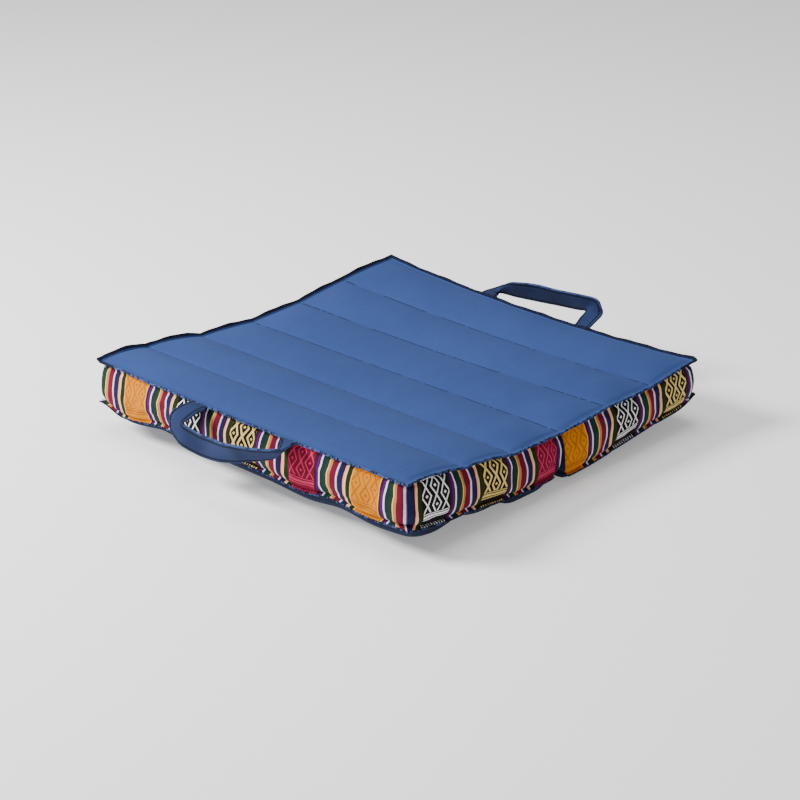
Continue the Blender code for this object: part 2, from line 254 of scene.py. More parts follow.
def rounded_in(plan, reach, row, inner_line):
    """The wall's upright corners are rounded, more tightly at the fold."""
    side = math.copysign(1, row[1].y_left)
    from_end, from_fold = reach - abs(plan.x), (plan.y - inner_line) * side
    if from_end < FOLD_ROUND and from_fold < FOLD_ROUND:
        turn = (1 + (from_end - from_fold) / FOLD_ROUND) * math.pi / 4
        x = reach - FOLD_ROUND * (1 - math.cos(turn))
        return Vector((math.copysign(x, plan.x), inner_line + side * FOLD_ROUND * (1 - math.sin(turn))))
    radius = 4 * WALL_CORNER
    x_left = max(0.0, 1 - (reach - abs(plan.x)) / radius)
    y_left = max(0.0, 1 - (reach - abs(plan.y)) / radius)
    pull = WALL_CORNER * (x_left * y_left) ** 2 + 0.5 * WALL_CORNER * x_left * y_left
    return plan - Vector((math.copysign(pull, plan.x), math.copysign(pull, plan.y)))


def skin_point(half, column, row_number, level):
    """Where a corner of the blank's cells goes."""
    row, x = row_at(half, row_number), column_x(column)
    if level in (TOP, BASE):
        back = 0.0 if level == TOP else BASE_BACK
        plan = drawn_out(plan_point(row, x, LIP, back), row, x)
        height = top_height(row, x) if level == TOP else base_height(row, x)
        return Vector((plan.x, plan.y + CENTRED, height))
    high, low = top_height(row, x) - LIP_DEPTH, base_height(row, x) + BASE_LIP_DEPTH
    if level in (UNDER_TOP_LIP, OVER_BASE_LIP):
        back = UNDER_LIP_BACK if level == UNDER_TOP_LIP else BASE_BACK
        plan = drawn_out(plan_point(row, x, LIP, back), row, x)
        return Vector((plan.x, plan.y + CENTRED, high if level == UNDER_TOP_LIP else low))
    high += LIP_DEPTH - SEAM_DEPTH - max(0.0, lip_turn(row, x)) - lip_wave(row, x)
    low += SEAM_DEPTH - BASE_LIP_DEPTH - (BASE_LIP_TURN if lip_turn(row, x) > 0 else 0.0)
    down = crowded((TOP_SEAM - level) / (TOP_SEAM - BASE_SEAM), 0.4)
    out, back = np.interp(down, WALL_DOWN, WALL_OUT), np.interp(down, WALL_DOWN, WALL_BACK)
    inner_line = along(FOLD_NEAR.y_left, FOLD_NEAR.y_right, x) + math.copysign(back, row[1].y_left)
    plan = rounded_in(plan_point(row, x, out, back), STITCH + out, row, inner_line)
    return Vector((plan.x, plan.y + CENTRED, mix(high, low, down)))


def choose(*pieces):
    """Selects these pieces and no others, the first one as the active piece."""
    bpy.ops.object.select_all(action="DESELECT")
    for piece in pieces:
        piece.select_set(True)
    bpy.context.view_layer.objects.active = pieces[0]


def blank(name):
    """A closed box of cells whose coordinates count its columns, rows and levels."""
    bpy.ops.object.select_all(action="DESELECT")
    bpy.ops.mesh.primitive_grid_add(x_subdivisions=COLUMNS, y_subdivisions=ROWS, size=1,
                                    location=(0, 0, 0))
    made = bpy.context.object
    made.name = name
    bpy.ops.object.mode_set(mode="EDIT")
    bpy.ops.transform.translate(value=(0.5, 0.5, 0))
    bpy.ops.transform.resize(value=(COLUMNS, ROWS, 1), center_override=(0, 0, 0))
    bpy.ops.mesh.duplicate()
    bpy.ops.transform.translate(value=(0, 0, LEVELS))
    bpy.ops.mesh.select_all(action="SELECT")
    bpy.ops.mesh.region_to_loop()
    bpy.ops.mesh.bridge_edge_loops(number_cuts=LEVELS - 1, interpolation="LINEAR")
    bpy.ops.mesh.select_all(action="SELECT")
    bpy.ops.mesh.normals_make_consistent(inside=False)
    bpy.ops.object.mode_set(mode="OBJECT")
    return made


# Where the blocks of the woven band stand, in millimetres along the wall: from the near wall's middle for the
# near half, and from the right side's middle for the far half. They were read off the photograph through the
# fitted camera. Past the ends of these lists the band runs on at the same pitch.
PITCH = 83.8
NEAR_BLOCKS = (-163.0, -79.8, 1.1, 83.4, 171.2, 255.0, 339.8, 420.9, 481.0)
FAR_BLOCKS = (19.7, 103.8, 186.5)
WALL_LENGTH = 443.4  # of band from one corner to the next
CORNER_REACH = 0.200  # where the band begins to turn round a corner
HALF_WALL = WALL_LENGTH / 2


def run_to(distance, corner):
    """How much band there is from a wall's middle to a place on it. The cloth eases round the corner."""
    beyond = abs(distance) - CORNER_REACH
    if beyond <= 0:
        return 1000 * distance
    eased = 1000 * CORNER_REACH + (HALF_WALL - 1000 * CORNER_REACH) * beyond / (corner - CORNER_REACH)
    return math.copysign(eased, distance)


def band_place(half, count, right_part):
    """How far along the band a place on the wall is, counted in blocks."""
    column, row_number, level = count
    spot, corner = skin_point(half, *count), abs(skin_point(half, COLUMNS, ROWS, level).x)
    x, y = run_to(spot.x, corner), run_to(spot.y - CENTRED, corner)
    if half[0] is NEAR_LINES:
        blocks = NEAR_BLOCKS
        if row_number == ROWS:
            run = x
        elif column in (0, COLUMNS):
            run = math.copysign(y + WALL_LENGTH, x)
        else:
            run = (y + WALL_LENGTH + HALF_WALL) * (1 if right_part else -1) - x
    else:
        blocks = FAR_BLOCKS
        if column == COLUMNS:
            run = y
        elif row_number == ROWS:
            run = WALL_LENGTH - x
        elif column == 0:
            run = 2 * WALL_LENGTH - y
        elif right_part:
            run = y - HALF_WALL + x
        else:
            run = 2 * WALL_LENGTH - y + x + HALF_WALL
    if run < blocks[0]:
        return (run - blocks[0]) / PITCH
    if run > blocks[-1]:
        return len(blocks) - 1 + (run - blocks[-1]) / PITCH
    return float(np.interp(run, blocks, range(len(blocks))))


def shape_skin(made, half):
    """Gives the blank its shape, its seams' names, its cloths' numbers and the wall's pattern map."""
    mesh = made.data
    counts = [tuple(round(value) for value in vertex.co) for vertex in mesh.vertices]
    for vertex, count in zip(mesh.vertices, counts):
        vertex.co = skin_point(half, *count)
    if half[0] is NEAR_LINES:  # its rows run the other way, which turns the blank inside out
        mesh.flip_normals()
    seams = {name: made.vertex_groups.new(name=name) for name in ("held", "lip", "stitched")}
    for number, (column, row, level) in enumerate(counts):
        flat = level in (TOP, BASE)
        if row == 0 or not BASE_SEAM < level < TOP_SEAM:  # all but the outer walls
            seams["held"].add([number], 1.0, "REPLACE")
        if column in (0, COLUMNS) or row == ROWS:
            if level in (TOP, UNDER_TOP_LIP, OVER_BASE_LIP, BASE):
                seams["lip"].add([number], 1.0, "REPLACE")
        if flat and (row % CHANNEL_CELLS == 0 or row == ROWS - 1 or column in (1, COLUMNS - 1)):
            seams["stitched"].add([number], 1.0, "REPLACE")
    for name in ("cotton_top", "woven_wall", "cotton_base", "cut_edge_and_fold_shade"):
        mesh.materials.append(bpy.data.materials.get(name) or bpy.data.materials.new(name))
    band = mesh.uv_layers.new(name="band") if not mesh.uv_layers else mesh.uv_layers[0]
    band.name = "band"
    heights = {}
    for column in range(COLUMNS + 1):
        for row in range(ROWS + 1):
            if column in (0, COLUMNS) or row in (0, ROWS):
                heights[column, row, BASE_SEAM] = BASE_SEAM_TURN
                low = skin_point(half, column, row, BASE_SEAM)
                for level in range(BASE_SEAM + 1, UNDER_TOP_LIP + 1):
                    high = skin_point(half, column, row, level)
                    heights[column, row, level] = heights[column, row, level - 1] + (high - low).length
                    low = high
                heights[column, row, TOP] = heights[column, row, UNDER_TOP_LIP] + 0.001
                heights[column, row, OVER_BASE_LIP] = -LIP
                heights[column, row, BASE] = -LIP - 0.001
    for face in mesh.polygons:
        levels = {counts[v][2] for v in face.vertices}
        at_fold = all(counts[v][1] == 0 for v in face.vertices)
        if levels in ({TOP}, {BASE}):
            face.material_index = TOP_CLOTH if levels == {TOP} else BASE_CLOTH
        else:
            # The bag's seam edge under the top lip and its inner walls at the fold take the darkest cotton:
            # painted shade.
            face.material_index = CUT_EDGE_AND_FOLD_SHADE if TOP in levels or at_fold else WALL_CLOTH
        if face.material_index == WALL_CLOTH:
            middle = sum(counts[v][0] for v in face.vertices) / 4
            for loop in face.loop_indices:
                count = counts[mesh.loops[loop].vertex_index]
                u = band_place(half, count, middle > COLUMNS / 2)
                band.data[loop].uv = (u, 1000 * heights[count] / PITCH)
    return counts


PRESSURE = 4.0
FRAMES = 20
MOST_SWELL = 0.0016
FREE_CELLS = 5  # from a seam to where a wall may swell that far


def room_to_move(level):
    """How far a wall's point may swell: not at all at its seams."""
    share = min(1.0, max(0.0, min(level - BASE_SEAM, TOP_SEAM - level) / FREE_CELLS))
    return MOST_SWELL * share * (2 - share)


def blow_up(made, counts):
    """Blows up the outer walls as cloth under pressure and keeps each point near its place. The rest of the
    skin is held as it was shaped."""
    mesh = made.data
    room = np.array([[room_to_move(level)] for _, _, level in counts])
    start = np.empty(3 * len(mesh.vertices))
    mesh.vertices.foreach_get("co", start)
    start = start.reshape(-1, 3)
    cloth = made.modifiers.new("Cloth", "CLOTH")
    settings = cloth.settings
    settings.quality = 5
    settings.mass = 0.15
    settings.tension_stiffness = settings.compression_stiffness = 20
    settings.shear_stiffness = 8
    settings.bending_stiffness = 0.4
    settings.vertex_group_mass = "held"
    settings.shrink_min = -0.02
    settings.use_pressure = True
    settings.uniform_pressure_force = PRESSURE
    settings.effector_weights.gravity = 0
    cloth.collision_settings.use_collision = False
    cloth.point_cache.frame_start, cloth.point_cache.frame_end = 1, FRAMES
    for step in range(1, FRAMES + 1):
        bpy.context.scene.frame_set(step)
    choose(made)
    bpy.ops.object.modifier_apply(modifier="Cloth")
    bpy.context.scene.frame_set(1)
    swelled = np.empty(3 * len(mesh.vertices))
    mesh.vertices.foreach_get("co", swelled)
    moved = swelled.reshape(-1, 3) - start
    length = np.linalg.norm(moved, axis=1, keepdims=True)
    moved *= np.minimum(1.0, room / np.maximum(length, 1e-9))
    kept = start + moved
    kept[:, 2] = np.maximum(kept[:, 2], 0.0)
    mesh.vertices.foreach_set("co", kept.reshape(-1))
    mesh.update()


def finish_skin(made):
    """Sharpens the seams and subdivides the skin once."""
    mesh = made.data
    sewn = made.vertex_groups["stitched"].index
    lip = made.vertex_groups["lip"].index
    groups = [{g.group for g in vertex.groups} for vertex in mesh.vertices]
    crease = mesh.attributes.new("crease_edge", "FLOAT", "EDGE")
    for edge in mesh.edges:
        a, b = edge.vertices
        both = groups[a] & groups[b]
        if sewn in both or lip in both:
            crease.data[edge.index].value = 0.9
    choose(made)
    finer = made.modifiers.new("Subdivision", "SUBSURF")
    finer.levels = finer.render_levels = 1
    finer.uv_smooth = "NONE"
    bpy.ops.object.modifier_apply(modifier=finer.name)


def dye(red, green, blue):
    """A colour as it is seen, 0 to 255, turned into the light that it gives back."""
    shares = [value / 255 for value in (red, green, blue)]
    return tuple(v / 12.92 if v < 0.04045 else ((v + 0.055) / 1.055) ** 2.4 for v in shares) + (1.0,)


class Thread:
    """A value that changes over the cloth. Sums and products of threads add their Math nodes."""

    def __init__(self, finish, socket):
        self.finish, self.socket = finish, socket

    def maths(self, operation, *values):
        return self.finish.node("ShaderNodeMath", {"operation": operation}, dict(enumerate(values)))

    def __add__(self, other):
        return self.maths("ADD", self, other)

    def __sub__(self, other):
        return self.maths("SUBTRACT", self, other)

    def __rsub__(self, other):
        return self.maths("SUBTRACT", other, self)

    def __mul__(self, other):
        return self.maths("MULTIPLY", self, other)

    def __mod__(self, other):
        return self.maths("FLOORED_MODULO", self, other)

    def __lt__(self, other):
        return self.maths("LESS_THAN", self, other)

    def __gt__(self, other):
        return self.maths("GREATER_THAN", self, other)

    def __abs__(self):
        return self.maths("ABSOLUTE", self)

    __radd__, __rmul__ = __add__, __mul__

    def either(self, other):
        return self.maths("MAXIMUM", self, other)

    def least(self, other):
        return self.maths("MINIMUM", self, other)


MIX_FACTOR, MIX_BELOW, MIX_ABOVE, MIX_RESULT = 0, 6, 7, 2  # sockets of a Mix node for colours


class Finish:
    """The nodes of one material."""

    def __init__(self, name, roughness, sheen):
        self.material = bpy.data.materials.get(name) or bpy.data.materials.new(name)
        self.material.use_nodes = True
        self.nodes, self.links = self.material.node_tree.nodes, self.material.node_tree.links
        self.shader = self.nodes["Principled BSDF"]
        self.shader.inputs["Roughness"].default_value = roughness
        self.shader.inputs["Sheen Weight"].default_value = sheen
        self.shader.inputs["Sheen Roughness"].default_value = 0.5
        self.shader.inputs["Specular IOR Level"].default_value = 0.15

    def node(self, kind, settings=None, values=None, output=0):
        made = self.nodes.new(kind)
        for name, value in (settings or {}).items():
            if name == "stops":
                stops = made.color_ramp.elements
                while len(stops) < len(value):
                    stops.new(1.0)
                for stop, (position, colour) in zip(stops, value):
                    stop.position, stop.color = position, colour
            elif name == "interpolation" and kind == "ShaderNodeValToRGB":
                made.color_ramp.interpolation = value
            else:
                setattr(made, name, value)
        for name, value in (values or {}).items():
            if isinstance(value, Thread):
                self.links.new(value.socket, made.inputs[name])
            else:
                made.inputs[name].default_value = value
        return Thread(self, made.outputs[output])

    def split(self, vector):
        axes = self.node("ShaderNodeSeparateXYZ", values={0: vector})
        return [Thread(self, socket) for socket in axes.socket.node.outputs]

    def ramp(self, factor, stops, interpolation="LINEAR"):
        return self.node("ShaderNodeValToRGB", {"interpolation": interpolation, "stops": stops}, {0: factor})

    def blend(self, factor, below, above, how="MIX"):
        settings = {"data_type": "RGBA", "blend_type": how}
        values = {MIX_FACTOR: factor, MIX_BELOW: below, MIX_ABOVE: above}
        return self.node("ShaderNodeMix", settings, values, MIX_RESULT)

    def noise(self, place, scale, detail=2.0):
        return self.node("ShaderNodeTexNoise", values={"Vector": place, "Scale": scale, "Detail": detail})

    def stretched(self, place, scale):
        return self.node("ShaderNodeMapping", values={"Vector": place, "Scale": scale})

    def wear(self, colour, height, distance, roughness=None):
        """Sends a colour, a relief and a roughness to the shader."""
        self.links.new(colour.socket, self.shader.inputs["Base Color"])
        relief = self.node("ShaderNodeBump", values={"Height": height, "Distance": distance, "Strength": 1.0})
        self.links.new(relief.socket, self.shader.inputs["Normal"])
        if roughness is not None:
            self.links.new(roughness.socket, self.shader.inputs["Roughness"])


# The wall's cloth is a hand-woven band: patterned blocks of four kinds in turn, with the same dyed stripes
# between them. Widths and heights are in millimetres. The stripes and dyes follow colours measured on the
# photograph, adjusted so that they look alike once rendered.
STRIPES = (
    (2.6, dye(56, 13, 50)), (3.7, dye(84, 19, 96)), (2.1, dye(249, 240, 250)), (0.9, dye(30, 27, 44)),
    (3.7, dye(22, 46, 50)), (4.0, dye(30, 56, 30)), (1.2, dye(238, 205, 140)), (3.3, dye(206, 118, 78)),
    (2.0, dye(100, 30, 26)), (5.3, dye(110, 16, 48)), (2.0, dye(249, 214, 249)), (0.8, dye(90, 80, 110)),
    (3.8, dye(26, 30, 70)), (2.6, dye(46, 22, 50)), (1.8, dye(250, 170, 160)), (1.8, dye(247, 216, 150)),
    (5.2, dye(38, 42, 14)),
)
STRIPES_WIDE = sum(width for width, colour in STRIPES)
BLOCK_HALF = (PITCH - STRIPES_WIDE) / 2
GROUNDS = (dye(219, 133, 6), dye(11, 8, 13), dye(20, 12, 5), dye(127, 9, 46))
FIGURES = (dye(184, 102, 6), dye(254, 253, 254), dye(246, 214, 130), dye(208, 56, 98))
EDGES = (dye(250, 180, 90), dye(18, 14, 22), dye(60, 46, 18), dye(90, 8, 40))
KINDS = len(GROUNDS)
YELLOW_KIND = 2.5 / KINDS
YELLOW_DROP = 2.0  # how much lower the yellow blocks' figures sit
YELLOW_LINE_MORE = 0.45
EDGING = 1.2  # width of a block's plain edge
LOZENGE = 18.8  # height of one lozenge
EYE = 1.8  # half of a lozenge's eye
FIGURES_FROM, FIGURES_TO = 19.8, 55.0
PICK = 3.4  # from one pick of the foot row to the next
WEFT = 0.9
COLUMN = 12.0  # from one chain of lozenges to the next
SWAY = 5.6  # how far a chain's lines swing to each side
FIGURE_LINE = 0.95  # half a line's width
FIRST_EYE = 27.2  # height of the middle chain's first eye up the cloth from the base seam
BORDERS = ((11.4, 12.6), (13.8, 16.4), (17.7, 18.8), (55.2, 57.2))
FIBRE_DARK, FIBRE_LIGHT = (0.72, 0.72, 0.72, 1), (1.1, 1.1, 1.1, 1)


def by_kind(finish, kind, colours):
    """Of four colours, the one for the kind of block."""
    return finish.ramp(kind, [(i / KINDS, colour) for i, colour in enumerate(colours)], "CONSTANT")


wall = Finish("woven_wall", 0.9, 0.0)
band_uv = wall.node("ShaderNodeUVMap", {"uv_map": "band"})
along_band, up_wall, _ = wall.split(band_uv)
waver = wall.noise(wall.stretched(band_uv, (1.0, 0.6, 1.0)), 9.0) - 0.5
along_band = along_band + waver * 0.010
up_wall = up_wall * PITCH + (wall.noise(band_uv, 14.0) - 0.5) * 0.9
number = wall.node("ShaderNodeMath", {"operation": "ROUND"}, {0: along_band})
across = (along_band - number) * PITCH
kind = (number % KINDS + 0.5) * (1 / KINDS)
yellow_block = abs(kind - YELLOW_KIND) < 0.1
up = up_wall + yellow_block * YELLOW_DROP
past_block = (across - BLOCK_HALF) % PITCH
in_block = past_block > STRIPES_WIDE
stripe_stops, reached = [], 0.0
for width, colour in STRIPES:
    stripe_stops.append((reached / STRIPES_WIDE, colour))
    reached += width
stripes = wall.ramp(past_block * (1 / STRIPES_WIDE), stripe_stops, "CONSTANT")
from_chain = abs((across + COLUMN) % (2 * COLUMN) - COLUMN)
swing = abs(((up - FIRST_EYE) * (1 / LOZENGE) % 1.0) * 2 - 1)
from_line = from_chain - swing * SWAY
wide = yellow_block * YELLOW_LINE_MORE + FIGURE_LINE
figure = abs(from_line).least(abs(from_line - COLUMN + SWAY)) < wide
eye_rise = abs((up - FIRST_EYE + LOZENGE / 2) % LOZENGE - LOZENGE / 2)
side_rise = abs((up - FIRST_EYE) % LOZENGE - LOZENGE / 2)
eyes = (from_chain + eye_rise).least((COLUMN - from_chain) + side_rise) < EYE
figure = figure.either(eyes)
figure = figure * (up > FIGURES_FROM) * (up < FIGURES_TO)
for low, high in BORDERS:
    figure = figure.either((up > low) * (up < high))
picks = (abs((across * (1 / PICK)) % 1.0 - 0.5) < 0.24) * (wall.noise(band_uv, 40.0) > 0.45)
figure = figure.either((up < 0.0) * picks)
block = wall.blend(figure, by_kind(wall, kind, GROUNDS), by_kind(wall, kind, FIGURES))
edging = by_kind(wall, kind, EDGES)
block = wall.blend(abs(across) > BLOCK_HALF - EDGING, block, edging)
colour = wall.blend(in_block, stripes, block)
fibre = wall.noise(wall.stretched(band_uv, (60.0, 16.0, 1.0)), 8.0)
fibre_shade = wall.ramp(fibre, [(0.25, FIBRE_DARK), (0.75, FIBRE_LIGHT)])
colour = wall.blend(1.0, colour, fibre_shade, "MULTIPLY")
weft = abs((up_wall * (1 / WEFT)) % 1.0 - 0.5)
wall.wear(colour, figure * in_block * 0.5 + weft * 0.5 + fibre * 0.4, 0.0005)

# The panels are plain indigo cotton, piece-dyed, a little faded, with wrapped threads over their raw edges.
# The top shows the cloth's own colour. The bases, and darkest of all the cut edges and the walls at the fold,
# are the same cotton darkened as painted shade, and so are the lips that stand up on the far and left sides.
WRAP = 0.0031  # from one wrap of the edge's thread to the next
RIM = 0.2  # past this a lip is on the far or left side
SEWN_WITHIN = 0.217
# The dark wrap thread also serves as the painted shade on the far and left lips.
WRAP_THREADS_AND_LIP_SHADE = (dye(12, 17, 38), dye(62, 84, 134))
# Dark stitches and painted shade in the sewn creases.
STITCH_AND_CREASE_SHADE = dye(16, 24, 50)


def cotton_finish(name, colour, faded):
    cotton = Finish(name, 0.9, 0.02)
    place = cotton.node("ShaderNodeTexCoord", output="Object")
    cloudy = cotton.noise(place, 9.0, 3.0)
    warp = cotton.noise(cotton.stretched(place, (900.0, 90.0, 300.0)), 1.0)
    weft = cotton.noise(cotton.stretched(place, (90.0, 900.0, 300.0)), 1.0)
    shade = cloudy * 0.5 + (warp + weft) * 0.25
    dyed = cotton.ramp(shade, [(0.30, colour), (0.72, faded)])
    x, y, _ = cotton.split(place)
    edge = cotton.node("ShaderNodeAttribute", {"attribute_name": "lip"}, output="Fac") > 0.35
    run = (x + y) * (1 / WRAP) + cotton.noise(place, 60.0) * 5.0
    wraps = abs(run % 1.0 - 0.5) < 0.34
    # The lips that stand up on the far and left sides are painted dark all along, with only a few light bits:
    # painted shade on their inner faces.
    far_lip_painted_shade = (x < -RIM).either(y > RIM)
    light = (cotton.noise(place, 300.0) > 0.52) * (1 - far_lip_painted_shade * 0.92)
    thread = cotton.blend(light, *WRAP_THREADS_AND_LIP_SHADE)
    dyed = cotton.blend(edge * wraps.either(far_lip_painted_shade), dyed, thread)
    sewn = cotton.node("ShaderNodeAttribute", {"attribute_name": "stitched"}, output="Fac")
    inside = (abs(x) < SEWN_WITHIN) * (abs(y) < SEWN_WITHIN)
    # Along the sewn lines the cloth is darkened in broken dashes: partly the dark stitches, partly painted
    # shade in the sunken crease. Beside each line it is lighter in narrow broken bands.
    in_dashes = (cotton.noise(place, 16.0) > 0.44) * (cotton.noise(place, 160.0) > 0.40) * inside
    dyed = cotton.blend((sewn > 0.72) * in_dashes * 0.85, dyed, STITCH_AND_CREASE_SHADE)
    dyed = cotton.blend((sewn > 0.30) * (sewn < 0.62) * in_dashes * 0.35, dyed, faded)
    pucker = cotton.noise(cotton.stretched(place, (75.0, 16.0, 16.0)), 1.0, 3.0)
    rumple = cotton.noise(place, 17.0)
    relief = (warp + weft) * 0.25 + wraps * edge * 0.8 + rumple * 3.2 + (pucker * 2.4 - 2.4) * sewn * inside
    cotton.wear(dyed, relief, 0.0005)
    return cotton.material


cotton_finish("cotton_top", dye(42, 62, 112), dye(50, 72, 126))
# The bases: the same cotton darkened, painted shade for the underside of the cushion.
cotton_finish("cotton_base", dye(19, 26, 50), dye(26, 35, 65))
# The cut edges and the walls at the fold: darker still, painted shade under the lips and in the fold between
# the halves.
cotton_finish("cut_edge_and_fold_shade", dye(14, 18, 38), dye(30, 38, 70))

HALVES = {"near": (NEAR_LINES, NEAR_CHANNELS), "far": (FAR_LINES, FAR_CHANNELS)}
skins = []
for name, half in HALVES.items():
    skin = blank(f"skin_{name}")
    counts = shape_skin(skin, half)
    blow_up(skin, counts)
    finish_skin(skin)
    skins.append(skin)


def only_cloth(skin, number, name):
    """A copy of one cloth of a skin, as an open sheet."""
    choose(skin)
    bpy.ops.object.duplicate()
    made = bpy.context.object
    made.name = name
    cut = bmesh.new()
    cut.from_mesh(made.data)
    bmesh.ops.delete(cut, geom=[f for f in cut.faces if f.material_index != number], context="FACES")
    cut.to_mesh(made.data)
    cut.free()
    return made


def keep_weights(made, *names):
    """Turns some of a piece's vertex groups into attributes that its finish can read, and drops them all."""
    weights = {}
    for name in names:
        index = made.vertex_groups[name].index
        weights[name] = [sum(g.weight for g in v.groups if g.group == index) for v in made.data.vertices]
    for group in list(made.vertex_groups):
        made.vertex_groups.remove(group)
    for name, values in weights.items():
        made.data.attributes.new(name, "FLOAT", "POINT").data.foreach_set("value", values)


def thicken(made, edge):
    """Gives a panel its thickness towards the filling, and its turned edge."""
    choose(made)
    thick = made.modifiers.new("Solidify", "SOLIDIFY")
    thick.thickness = max(edge, PANEL)
    thick.offset = -1
    thick.vertex_group = "lip"
    thick.thickness_vertex_group = min(edge, PANEL) / max(edge, PANEL)
    thick.invert_vertex_group = edge < PANEL
    bpy.ops.object.modifier_apply(modifier=thick.name)
    keep_weights(made, "lip", "stitched")
    bpy.ops.object.shade_smooth_by_angle(angle=math.radians(40))


tops = [only_cloth(skin, TOP_CLOTH, "cotton_top_panel") for skin in skins]
choose(*tops)
bpy.ops.object.join()
top_panel = bpy.context.object
bpy.ops.object.mode_set(mode="EDIT")
bpy.ops.mesh.select_all(action="SELECT")
bpy.ops.mesh.remove_doubles(threshold=0.0001)
bpy.ops.object.mode_set(mode="OBJECT")
thicken(top_panel, TOP_EDGE)
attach(top_panel, "root")
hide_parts("quilted_top_panel")

for skin, name in zip(skins, ("near", "far")):
    base = only_cloth(skin, BASE_CLOTH, f"cotton_base_{name}")
    thicken(base, BASE_EDGE)
    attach(base, "root")
    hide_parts(f"base_panel_{name}")
    0.258 if name == "near" else 0.244


SET_BACK = 0.0010


def push_in(skin, name):
    """The bag under the panels: its top and base lie under the cotton, its own seam edges are set back."""
    mesh = skin.data
    lip = skin.vertex_groups["lip"].index
    cloths = [set() for _ in mesh.vertices]
    for face in mesh.polygons:
        for vertex in face.vertices:
            cloths[vertex].add(face.material_index)
    for vertex, found in zip(mesh.vertices, cloths):
        edge = sum(group.weight for group in vertex.groups if group.group == lip)
        if TOP_CLOTH in found:
            vertex.co.z -= BETWEEN_CLOTHS + mix(PANEL, TOP_EDGE, edge)
        if BASE_CLOTH in found:
            vertex.co.z += BETWEEN_CLOTHS + mix(PANEL, BASE_EDGE, edge)
        if edge > 0:
            x, y = vertex.co.x, vertex.co.y - CENTRED
            if abs(x) > STITCH + 0.001:
                vertex.co.x -= math.copysign(SET_BACK * edge, x)
            if abs(y) > STITCH + 0.001:
                vertex.co.y -= math.copysign(SET_BACK * edge, y)
    skin.name = name
    for group in list(skin.vertex_groups):
        skin.vertex_groups.remove(group)
    choose(skin)
    bpy.ops.object.shade_smooth_by_angle(angle=math.radians(50))


for skin, name in zip(skins, ("near", "far")):
    push_in(skin, f"woven_bag_{name}")
    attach(skin, "root")
    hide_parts(f"filled_half_{name}")

# The carrying straps. Each is a strip of the same cotton folded to four layers and stitched along both edges,
# with its ends sewn into the outer top seam. The near one folds over and droops, the far one stands up and
# out.
STITCH_ROW = 0.13  # from a strap's edge to its stitches, as a share of its width
STITCHES_IN_A_WIDTH = 6.0
WIDTHS_IN_A_METRE = 40
webbing = Finish("strap_cotton", 0.9, 0.02)
strap_place = webbing.node("ShaderNodeTexCoord", output="Object")
strap_run = webbing.node("ShaderNodeUVMap", {"uv_map": "run"})
over, length_run, _ = webbing.split(strap_run)
from_edge = 0.5 - abs(over - 0.5)
worn = webbing.noise(strap_place, 26.0, 3.0)
strap_colour = webbing.ramp(worn, [(0.30, dye(28, 39, 72)), (0.72, dye(38, 51, 88))])
stitch_run = abs((length_run * STITCHES_IN_A_WIDTH) % 1.0 - 0.5) < 0.43
sewing = (abs(from_edge - STITCH_ROW) < 0.036) * stitch_run
strap_colour = webbing.blend(sewing * 0.95, strap_colour, dye(6, 9, 22))
# Right at each edge the strap is lighter in broken spots; just inside it runs a dark line, painted shade
# along the rolled edge.
strap_colour = webbing.blend((from_edge < 0.035) * (webbing.noise(strap_place, 180.0) > 0.46), strap_colour,
                             dye(54, 72, 112))
strap_colour = webbing.blend((abs(from_edge - 0.05) < 0.016) * 0.7, strap_colour, dye(16, 22, 44))
threads = webbing.noise(webbing.stretched(strap_place, (900.0, 300.0, 300.0)), 1.0)
dent = (abs(from_edge - STITCH_ROW) < 0.035) * 1.0
webbing.wear(strap_colour, threads * 0.35 - dent + sewing * 0.6, 0.0004)
STRAP_COTTON = webbing.material
# Each row is one place along a strap: its lower edge and its upper edge. AT_SEAM is the lip's own height. The
# rows weren't designed: they were worked out from places read off the photograph, through the fitted camera.
Across = namedtuple("Across", "lower upper")
SEWN_IN = HALF + BETWEEN_CLOTHS
AT_SEAM = None
NEAR_STRAP = (
    Across((-0.077, -SEWN_IN, AT_SEAM), (-0.052, -SEWN_IN, AT_SEAM)),
    Across((-0.077, -0.240, 0.075), (-0.052, -0.240, 0.075)),
    Across((-0.077, -0.253, 0.071), (-0.052, -0.253, 0.071)),
    Across((-0.074, -0.257, 0.057), (-0.053, -0.257, 0.070)),
    Across((-0.064, -0.258, 0.048), (-0.052, -0.258, 0.069)),
    Across((-0.053, -0.258, 0.043), (-0.049, -0.258, 0.068)),
    Across((-0.030, -0.255, 0.039), (-0.031, -0.256, 0.064)),
    Across((-0.009, -0.254, 0.040), (-0.011, -0.257, 0.065)),
    Across((0.007, -0.252, 0.043), (0.003, -0.259, 0.066)),
    Across((0.021, -0.250, 0.047), (0.017, -0.261, 0.069)),
    Across((0.033, -0.247, 0.051), (0.030, -0.261, 0.071)),
    Across((0.049, -0.243, 0.056), (0.049, -0.260, 0.074)),
    Across((0.057, -0.239, 0.059), (0.075, -0.251, 0.078)),
    Across((0.059, -0.236, 0.061), (0.081, -0.241, 0.080)),
    Across((0.059, -0.233, 0.064), (0.081, -0.234, 0.081)),
    Across((0.056, -SEWN_IN, AT_SEAM), (0.079, -SEWN_IN, AT_SEAM)),
)
